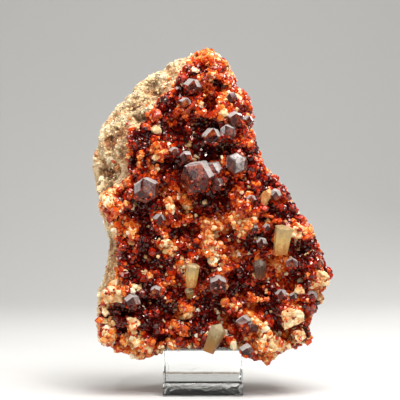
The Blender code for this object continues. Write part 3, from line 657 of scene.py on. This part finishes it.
draw = np.random.default_rng(7)
places, ways = places_on(bed, SMALL_GARNET_TRIES, draw)
sizes = sizes_between(SMALL_GARNET_HALF, SMALL_LEAN, SMALL_GARNET_TRIES, draw)
larger_sizes = sizes_between(LARGER_HALF, LARGER_LEAN, SMALL_GARNET_TRIES, draw)
sizes = np.where(draw.random(SMALL_GARNET_TRIES) < LARGER_SHARE, larger_sizes, sizes)
in_order = np.argsort(-sizes)
places, ways, sizes = places[in_order], ways[in_order], sizes[in_order]
free = [
    index for index, (place, way, size) in enumerate(zip(places, ways, sizes))
    if in_the_open(rock_tree, Vector(place), Vector(way))
    and gap_to(crystal_tree, Vector(place)) > ROOM_AT_CRYSTALS * size
]
bed_tree = BVHTree.FromPolygons(
    [vertex.co for vertex in bed.data.vertices], [face.vertices[:] for face in bed.data.polygons],
)
single_places = []
for x, z, _, _ in SINGLE_GRAINS:
    in_front = Vector((x * MM, BEFORE_CRUST, z * MM))
    hit = bed_tree.ray_cast(in_front, Vector((0, 1, 0)))[0]
    single_places.append(hit or bed_tree.find_nearest(in_front)[0])
places = np.concatenate([single_places, places[free]])
ways = np.concatenate([[(0, -1, 0)] * len(SINGLE_GRAINS), ways[free]])
sizes = np.concatenate([[half * MM for _, _, half, _ in SINGLE_GRAINS], sizes[free]])
kept = set_apart(places.tolist(), sizes.tolist(), PACKING)
places, ways, sizes = places[kept], ways[kept], sizes[kept]
places = places - ways * (SUNK * sizes)[:, None]
in_place = np.array([near_places(CREAM_PLACES, x / MM, z / MM) for x, _, z in places])
in_patch = (noise_at(places, PATCH_WIDTH, 9) - PATCH_START).clip(0, 1) * (sizes < LARGEST_IN_PATCH)
cream_share = CREAM_IN_PLACES * in_place + CREAM_IN_PATCHES * in_patch
is_cream = draw.random(len(places)) < CREAM_ANYWHERE + cream_share
is_cream &= sizes < LARGEST_GRAIN
is_cream[:len(SINGLE_GRAINS)] = True
# Each crystal's tint carries painted light: warmer where the bed faces up, deeper red where it faces down.
tints = (warmth_with_painted_shade(places) + PAINTED_TOP_LIGHT * ways[:, 2] - DARKER).clip(DARKEST, WARMEST)
tints += draw.normal(0, TINT_VARIETY, len(places))
turns = random_turns(len(places), draw)
# One piece for each band of the crust's height, in millimetres.
BANDS = {
    "small_garnets_foot": (-1, 24), "small_garnets_low": (24, 35), "small_garnets_lower_middle": (35, 46),
    "small_garnets_middle": (46, 57), "small_garnets_upper_middle": (57, 70), "small_garnets_upper": (70, 87),
    "small_garnets_peak": (87, 200),
}
rhombs = rhomb_crystal("one_small_garnet", 0)
for name, (low, high) in BANDS.items():
    inside = (places[:, 2] >= low * MM) & (places[:, 2] < high * MM)
    band = np.flatnonzero(inside & ~is_cream & (sizes < LARGER_HALF[0]))
    piece = copies_of(rhombs, name, places[band], sizes[band], turns[band], tints[band], draw)
    finish_piece(piece, small_garnet, "garnet_crust")

# The overgrowth: patches of small garnets that grew over the undersides of most single garnets. They are
# copies of the same small crystal, set on the large crystals' own faces.
OVERGROWTH_TRIES = 8  # for each square millimetre of a larger crystal
OVERGROWTH_PATCH = 1.8 * MM
OVERGROWTH_SUNK = 0.4  # in the same terms as those on the bed
OVERGROWTH_VARIETY = 0.12
UNDERSIDE = -0.35  # faces that look down more steeply than this are overgrown
CLEAN_CRYSTAL = "garnet_right_of_centre"


def overgrow(pieces, name, steepest, share, tint):
    """Small garnets in patches on these pieces, where their faces look down more steeply than this."""
    tried, ways_out = [], []
    for piece in pieces:
        area = sum(face.area for face in piece.data.polygons)
        piece_places, piece_ways = places_on(piece, int(OVERGROWTH_TRIES * area / MM ** 2), draw)
        low = piece_ways[:, 2] < steepest
        tried.append(piece_places[low])
        ways_out.append(piece_ways[low])
    tried, ways_out = np.concatenate(tried), np.concatenate(ways_out)
    chosen = draw.random(len(tried)) < share + noise_at(tried, OVERGROWTH_PATCH, 2)
    tried, ways_out = tried[chosen], ways_out[chosen]
    halves = np.sort(draw.uniform(*SMALL_GARNET_HALF, len(tried)))[::-1]
    kept = set_apart(tried.tolist(), halves.tolist(), PACKING)
    tried, ways_out, halves = tried[kept], ways_out[kept], halves[kept]
    tints = draw.normal(tint, OVERGROWTH_VARIETY, len(kept))
    turns = random_turns(len(kept), draw)
    middles = tried - ways_out * (OVERGROWTH_SUNK * halves)[:, None]
    piece = copies_of(rhombs, name, middles, halves, turns, tints, draw)
    finish_piece(piece, small_garnet, "garnet_crust")


overgrown = [crystal for crystal in large_crystals if not crystal.name.startswith(CLEAN_CRYSTAL)]
overgrow(overgrown, "garnets_on_garnets", steepest=UNDERSIDE, share=0.15, tint=0.14)

# The larger garnets of the crust, up to 2.6 mm wide: twelve rhombs with narrow faces between them, in the
# places kept for them. One is modelled and copied, each copy turned at random.
EDGE_SHARE = 0.13  # how wide the narrow faces are, as a share of the crystal's size

edged = rhomb_crystal("one_larger_garnet", EDGE_SHARE)
larger = np.flatnonzero(~is_cream & (sizes >= LARGER_HALF[0]))
piece = copies_of(edged, "larger_garnets", places[larger], sizes[larger], turns[larger], tints[larger], draw)
finish_piece(piece, small_garnet, "garnet_crust")
bpy.data.objects.remove(edged)

# The cream grains: stubby blocks of feldspar with cut edges, opaque, some stained orange, in patches and
# singly among the small garnets. One is modelled, and ragged copies of it stand in the places kept for them.
GRAIN_SIZE = 1.15  # of a grain, beside the garnet that would have stood there
GRAIN_STRETCH = 0.22
RAGGED = 0.13  # how far a grain's corners stray, as a share of its size
GRAIN_TINT, GRAIN_VARIETY = 0.33, 0.17
SINGLE_DARKER = 0.25  # than its own tint in the list


def blunt_grain(name):
    """A stubby block with cut edges, about one unit from middle to face."""
    grain = start_shape(2, name)
    bpy.ops.transform.resize(value=(1.0, 0.8, 0.9))
    bpy.ops.mesh.bevel(offset=0.3, segments=1, affect="EDGES")
    end_shape()
    return grain


grain_finish, grain_shader = new_finish("cream_grains", (0.85, 0.72, 0.5), 0.45, index=FELDSPAR_INDEX)
grain_tint = add_node(grain_finish, "Attribute", {}, attribute_name="tint")
grain_mottle = pattern(grain_finish, "TexNoise", 0.9 * MM, Detail=4.0)
grain_value = with_share_of(grain_finish, grain_mottle.outputs["Fac"], 0.6, grain_tint.outputs["Fac"])
grain_colour = colour_ramp(grain_finish, grain_value, [
    (0.30, (0.42, 0.11, 0.02)), (0.50, (0.68, 0.33, 0.10)), (0.68, (0.82, 0.57, 0.27)),
    (0.86, (0.90, 0.74, 0.45)), (1.0, (0.94, 0.86, 0.66)),
])
feed(grain_finish, grain_shader, "Base Color", grain_colour)
grain_bump = pattern(grain_finish, "TexNoise", 0.4 * MM, Detail=3.0)
give_bump(grain_finish, grain_shader, grain_bump.outputs["Fac"], 0.12 * MM)
blunt = blunt_grain("one_grain")
grains = np.flatnonzero(is_cream)
grain_tints = draw.normal(GRAIN_TINT, GRAIN_VARIETY, len(grains))
grain_tints[:len(SINGLE_GRAINS)] = [tint - SINGLE_DARKER for _, _, _, tint in SINGLE_GRAINS]
piece = copies_of(
    blunt, "feldspar_grains", places[grains], GRAIN_SIZE * sizes[grains], turns[grains], grain_tints, draw,
    stretch=GRAIN_STRETCH, ragged=RAGGED,
)
finish_piece(piece, grain_finish, "feldspar")

# The sugary grains: loose cream and tan crumbs of the rock itself, all over its bare parts, and fewer on its
# back. They are copies of the same blunt block.
CRUMB_TRIES = 9000
CRUMB_HALF, CRUMB_LEAN = (0.18 * MM, 0.6 * MM), (1.1, 4.5)
LARGE_CRUMB_SHARE, LARGE_CRUMB_SCALE, LARGE_CRUMB_EXTRA = 0.008, 2.2, 0.3 * MM
CRUMB_PACKING, CRUMB_SUNK = 0.8, 0.45  # in the same terms as the garnets'
BACK, BACK_SHARE = 4 * MM, 0.35  # behind this y, only this share of the crumbs stays
COVER_START, COVER_REACH = 0.1 * MM, 12 * MM  # how near and how far what covers a place may be
CRUMB_TINT, CRUMB_VARIETY = 0.45, 0.18
# Crumbs in the pits are darker, partly brown and partly painted shade, like the pits.
CRUMB_DARKER_IN_PITS = 0.5


def covered_by(tree, places, ways):
    """Whether something stands close over each place, straight out from the surface there."""
    return np.array([
        tree.ray_cast(Vector(place + COVER_START * way), Vector(way), COVER_REACH)[0] is not None
        for place, way in zip(places, ways)
    ])


places, ways = places_on(rock, CRUMB_TRIES, draw)
sizes = sizes_between(CRUMB_HALF, CRUMB_LEAN, CRUMB_TRIES, draw)
large_crumbs = draw.random(CRUMB_TRIES) < LARGE_CRUMB_SHARE
sizes = np.where(large_crumbs, LARGE_CRUMB_SCALE * sizes + LARGE_CRUMB_EXTRA, sizes)
stays = (places[:, 1] <= BACK) | (draw.random(CRUMB_TRIES) < BACK_SHARE)
bare = np.flatnonzero(stays & ~covered_by(bed_tree, places, ways))
in_order = bare[np.argsort(-sizes[bare])]
crumbs = in_order[set_apart(places[in_order].tolist(), sizes[in_order].tolist(), CRUMB_PACKING)]
middles = places[crumbs] - ways[crumbs] * (CRUMB_SUNK * sizes[crumbs])[:, None]
crumb_tints = draw.normal(CRUMB_TINT, CRUMB_VARIETY, len(crumbs)) - CRUMB_DARKER_IN_PITS * in_pit_at(middles)
turns = random_turns(len(crumbs), draw)
piece = copies_of(blunt, "rock_crumbs", middles, sizes[crumbs], turns, crumb_tints, draw, ragged=RAGGED)
finish_piece(piece, grain_finish, "pale_rock")
bpy.data.objects.remove(blunt)

# The garnets on bare rock: a few small ones scattered near the crust's edge, and many where the rock shows in
# the clefts of the crust. They are copies of the same small crystal.
ON_ROCK_TRIES = 36000
CLEFT_GAP = 0.6 * MM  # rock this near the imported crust, with nothing over it, shows in a cleft
CLEFT_CHANCE, EDGE_CHANCE = 0.9, 0.012
EDGE_REACH = 4 * MM
ON_ROCK_SMALLEST = 0.8 * SMALL_GARNET_HALF[0]
ON_ROCK_SPREAD, ON_ROCK_LEAN = 0.7, (1.1, 3.0)  # the spread in millimetres
ON_ROCK_TINT, ON_ROCK_VARIETY = 0.38, 0.15

places, ways = places_on(rock, ON_ROCK_TRIES, draw)
to_crust = distances_to(crust_tree, places)
chance = np.where(to_crust < CLEFT_GAP, CLEFT_CHANCE, EDGE_CHANCE * np.exp(-to_crust / EDGE_REACH))
near = (draw.random(len(places)) < chance) & (places[:, 1] < FRONT) & ~covered_by(bed_tree, places, ways)
places, ways = places[near], ways[near]
sizes = np.sort(ON_ROCK_SMALLEST + draw.beta(*ON_ROCK_LEAN, len(places)) * ON_ROCK_SPREAD * MM)[::-1]
kept = set_apart(places.tolist(), sizes.tolist(), PACKING)
places, sizes = places[kept] - ways[kept] * (SUNK * sizes[kept])[:, None], sizes[kept]
tints = draw.normal(ON_ROCK_TINT, ON_ROCK_VARIETY, len(places))
piece = copies_of(rhombs, "garnets_on_rock", places, sizes, random_turns(len(places), draw), tints, draw)
finish_piece(piece, small_garnet, "garnet_crust")

# The quartz: five short tan crystals, cloudy and striped along their length, each grown out of the crust on
# its own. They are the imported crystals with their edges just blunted.
QUARTZ_EDGE_WEAR = 0.12 * MM
STRIPE_WIDTH, STRIPE_LENGTH = 0.5 * MM, 4 * MM
TIP_SHARE = 0.45  # how far the colour has changed at the tip
TAN_FOOT, TAN_BODY, TAN_TIP = (0.56, 0.19, 0.03), (0.80, 0.52, 0.17), (0.42, 0.30, 0.15)
SMOKY_FOOT, SMOKY_BODY, SMOKY_TIP = (0.20, 0.045, 0.008), (0.07, 0.020, 0.005), (0.13, 0.09, 0.06)
AMBER_FOOT, AMBER_BODY, AMBER_TIP = (0.46, 0.17, 0.03), (0.32, 0.19, 0.06), (0.58, 0.48, 0.28)


def quartz_kind(name, clearness, foot, body, tip):
    """Cloudy quartz that changes from one colour at the foot to another at the tip."""
    finish, shader = new_finish(name, body, 0.2, index=1.55, clearness=clearness)
    shader.inputs["Specular IOR Level"].default_value = 0.3
    cloud = pattern(finish, "TexNoise", 1.2 * MM, Detail=7.0, Roughness=0.7)
    place = add_node(finish, "Attribute", {}, attribute_name="crystal_place")
    stripes = add_node(finish, "TexNoise", {"Vector": place.outputs["Vector"], "Scale": 1.0, "Detail": 4.0})
    height = add_node(finish, "Attribute", {}, attribute_name="up_share")
    clouded = with_share_of(finish, cloud.outputs["Fac"], 0.5, height.outputs["Fac"])
    striped = with_share_of(finish, stripes.outputs["Fac"], 0.3, clouded)
    colour = colour_ramp(finish, striped, [(0.42, foot), (0.62, body), (0.85, tip)])
    feed(finish, shader, "Base Color", colour)
    give_bump(finish, shader, striped, 0.45 * MM)
    return finish


def mark_long_axis(piece):
    """Keeps each vertex's place across and along the crystal, so that its stripes run along it."""
    places = places_of(piece)
    from_middle = places - places.mean(axis=0)
    along = np.linalg.svd(from_middle)[2][0]
    length = from_middle @ along
    across = (from_middle - length[:, None] * along) / STRIPE_WIDTH
    layer = piece.data.attributes.new("crystal_place", "FLOAT_VECTOR", "POINT")
    striped_place = across + length[:, None] / STRIPE_LENGTH * along
    layer.data.foreach_set("vector", striped_place.ravel().astype(np.float32))
    heights = places[:, 2]
    mark(piece, "up_share", TIP_SHARE * (heights - heights.min()) / (heights.max() - heights.min()))


tan_quartz = quartz_kind("cloudy_tan_quartz", 0.25, TAN_FOOT, TAN_BODY, TAN_TIP)
smoky_quartz = quartz_kind("smoky_quartz", 0.2, SMOKY_FOOT, SMOKY_BODY, SMOKY_TIP)
amber_quartz = quartz_kind("amber_quartz", 0.35, AMBER_FOOT, AMBER_BODY, AMBER_TIP)
kinds = {"quartz_smoky": smoky_quartz, "quartz_bottom": amber_quartz, "quartz_stub": amber_quartz}
for node in quartz_nodes:
    crystal = crystal_from(node, QUARTZ_EDGE_WEAR)
    mark_long_axis(crystal)
    finish_piece(crystal, kinds.get(node, tan_quartz), "quartz", node)

# The feldspar: cream blocks with blunt, chipped edges, opaque and satin, stained orange in places, grown in
# the crust near its rim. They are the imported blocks, weathered, and small garnets grew over them in patches.
BLOCK_VOXEL = 0.22 * MM
CHIPS = (1.5 * MM, 1.5 * MM)  # how wide and how deep

feldspar_finish, feldspar_shader = new_finish("cream_feldspar", (0.8, 0.68, 0.47), 0.5, index=FELDSPAR_INDEX)
feldspar_mottle = pattern(feldspar_finish, "TexNoise", 2.2 * MM, Detail=6.0, Roughness=0.6)
feldspar_colour = colour_ramp(feldspar_finish, feldspar_mottle.outputs["Fac"], [
    (0.33, (0.42, 0.11, 0.02)), (0.46, (0.68, 0.36, 0.13)), (0.57, (0.80, 0.62, 0.35)),
    (0.74, (0.90, 0.80, 0.56)),
])
feed(feldspar_finish, feldspar_shader, "Base Color", feldspar_colour)
feldspar_grain = pattern(feldspar_finish, "TexNoise", 0.5 * MM, Detail=4.0)
give_bump(feldspar_finish, feldspar_shader, feldspar_grain.outputs["Fac"], 0.2 * MM)
blocks = []
for node in feldspar_nodes:
    block = copy_of(node, f"{node}_block")
    apply_modifier(block, "REMESH", mode="VOXEL", voxel_size=BLOCK_VOXEL)
    apply_modifier(block, "SMOOTH", factor=0.5, iterations=5)
    roughen(block, "CLOUDS", *CHIPS, level=0.5, noise_depth=3)
    blocks.append(finish_piece(block, feldspar_finish, "feldspar", node))
overgrow(blocks, "garnets_on_feldspar", steepest=0.8, share=-0.1, tint=0.36)
bpy.data.objects.remove(rhombs)

# The floor and the wall behind it: one sheet of pale paper that curves up at the back. It is a flat sheet
# whose back edge is drawn up, with the corner between them rounded.
FLOOR_WIDTH = 2.4
WALL_RISE = (0, 0.001, 1.6)
CURVE_WIDTH = 0.35

bpy.ops.object.select_all(action="DESELECT")
bpy.ops.mesh.primitive_plane_add(size=FLOOR_WIDTH, location=(0, -0.5, 0))
floor = bpy.context.active_object
floor.name = "floor"
floor.data.polygons[0].select = False
for vertex in floor.data.vertices:
    vertex.select = vertex.co.y > 0
for edge in floor.data.edges:
    edge.select = all(floor.data.vertices[index].select for index in edge.vertices)
bpy.ops.object.mode_set(mode="EDIT")
bpy.ops.mesh.select_mode(type="EDGE")
bpy.ops.mesh.extrude_region_move(TRANSFORM_OT_translate={"value": WALL_RISE})
bpy.ops.object.mode_set(mode="OBJECT")
bpy.ops.object.transform_apply(location=True, rotation=True, scale=True)
apply_modifier(floor, "BEVEL", width=CURVE_WIDTH, segments=16, limit_method="ANGLE")
bpy.ops.object.shade_smooth()
paper, _ = new_finish("pale_paper", (0.62, 0.61, 0.59), 0.9)
floor.data.materials.append(paper)

# The lights: soft lamps over and beside the crystals and behind the rock, two small ones in front that make
# the faces sparkle, and one on the wall. Each row is a name, a place, what it faces, a width, a height and
# a power in watts.
MIDDLE = (0, -0.01, 0.07)
LIGHTS = [
    ("overhead", (0.08, -0.11, 0.36), MIDDLE, 0.26, 0.22, 2.2),
    ("left_side", (-0.41, -0.05, 0.18), MIDDLE, 0.2, 0.2, 0.8),
    ("right_behind", (0.26, 0.32, 0.27), MIDDLE, 0.16, 0.2, 0.6),
    ("right_side", (0.45, -0.2, 0.25), MIDDLE, 0.2, 0.3, 0.12),
    ("spark_left", (-0.12, -0.30, 0.38), MIDDLE, 0.04, 0.04, 0.4),
    ("spark_right", (0.16, -0.28, 0.30), MIDDLE, 0.04, 0.04, 0.33),
    ("wall_light", (0.0, 0.15, 0.8), (0, 0.7, 0.1), 1.2, 0.3, 3.2),
]
ROOM_LIGHT = 0.04


def softbox(name, place, aim, width, height, power):
    """A soft lamp that faces a point."""
    lamp = bpy.data.lights.new(name, "AREA")
    lamp.shape = "RECTANGLE"
    lamp.size, lamp.size_y = width, height
    lamp.energy = power
    holder = bpy.data.objects.new(name, lamp)
    bpy.context.scene.collection.objects.link(holder)
    holder.location = place
    holder.rotation_euler = (Vector(aim) - Vector(place)).to_track_quat("-Z", "Y").to_euler()


for light in LIGHTS:
    softbox(*light)
world = bpy.data.worlds.new("studio")
world.use_nodes = True
background = world.node_tree.nodes["Background"]
background.inputs["Color"].default_value = (1, 1, 1, 1)
background.inputs["Strength"].default_value = ROOM_LIGHT
bpy.context.scene.world = world

# The camera stands level with the middle of the rock, straight in front of it, and sees the rock and its
# stand with a little room round them.
CAMERA_PLACE = (-0.95 * MM, -436 * MM, 62.5 * MM)
FIELD, FIELD_AWAY = 127 * MM, 420 * MM  # the view's width, and how far from the camera it has that width
SENSOR_WIDTH = 36  # in millimetres

camera_data = bpy.data.cameras.new("camera")
camera_data.sensor_width = SENSOR_WIDTH
camera_data.lens = SENSOR_WIDTH * FIELD_AWAY / FIELD
camera_data.clip_start, camera_data.clip_end = 0.01, 10
camera = bpy.data.objects.new("camera", camera_data)
bpy.context.scene.collection.objects.link(camera)
camera.location = CAMERA_PLACE
camera.rotation_euler = (math.radians(90), 0, 0)
bpy.context.scene.camera = camera
bpy.context.scene.view_settings.view_transform = "Standard"
